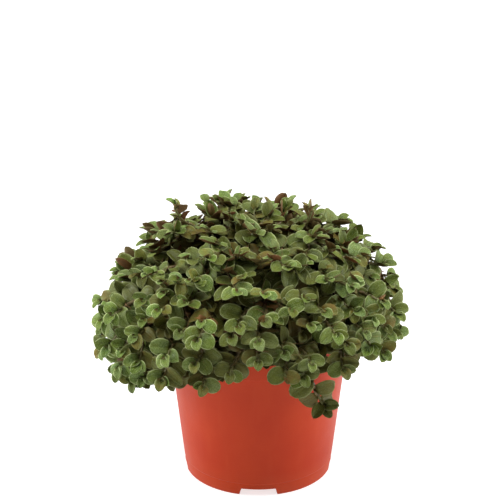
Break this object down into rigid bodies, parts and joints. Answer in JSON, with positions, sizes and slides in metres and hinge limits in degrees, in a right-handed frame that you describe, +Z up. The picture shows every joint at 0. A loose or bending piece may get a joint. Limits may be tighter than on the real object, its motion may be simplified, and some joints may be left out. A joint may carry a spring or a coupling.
{
  "type": "potted turtle vine",
  "caption": "Round terracotta-coloured plastic pot of soil with a dense mound of creeping green shoots, some of them hanging over its rim.",
  "frame": {"origin": "middle of the pot's foot ring, on the surface that the pot stands on, which is the bottom centre of the whole plant's box", "axes": "+Z up along the pot's axis, -Y towards the front of the plant, +X to the right seen from the front"},
  "size_m": [0.2054, 0.2062, 0.1882],
  "materials": {
    "pot_plastic": "satin terracotta-coloured moulded plastic",
    "soil": "dark peat potting mix",
    "plant": "fleshy sage-green leaves with purple undersides on red-brown stems"
  },
  "bodies": {
    "root": {"pot": "pot_plastic", "soil": "soil", "shoot_01": "plant", "shoot_02": "plant", "shoot_03": "plant", "shoot_04": "plant", "shoot_05": "plant", "shoot_06": "plant", "shoot_07": "plant", "shoot_08": "plant", "shoot_09": "plant", "shoot_10": "plant", "shoot_11": "plant", "shoot_12": "plant", "shoot_13": "plant", "shoot_14": "plant", "shoot_15": "plant", "shoot_16": "plant", "shoot_17": "plant", "shoot_18": "plant", "shoot_19": "plant", "shoot_20": "plant", "shoot_21": "plant", "shoot_22": "plant", "shoot_23": "plant", "shoot_24": "plant", "shoot_25": "plant", "shoot_26": "plant", "shoot_27": "plant", "shoot_28": "plant", "shoot_29": "plant", "shoot_30": "plant", "shoot_31": "plant", "shoot_32": "plant", "shoot_33": "plant", "shoot_34": "plant", "shoot_35": "plant", "shoot_36": "plant", "shoot_37": "plant", "shoot_38": "plant", "shoot_39": "plant", "shoot_40": "plant", "shoot_41": "plant", "shoot_42": "plant", "shoot_43": "plant", "shoot_44": "plant", "shoot_45": "plant", "shoot_trailing": "plant"}
  },
  "joints": []
}
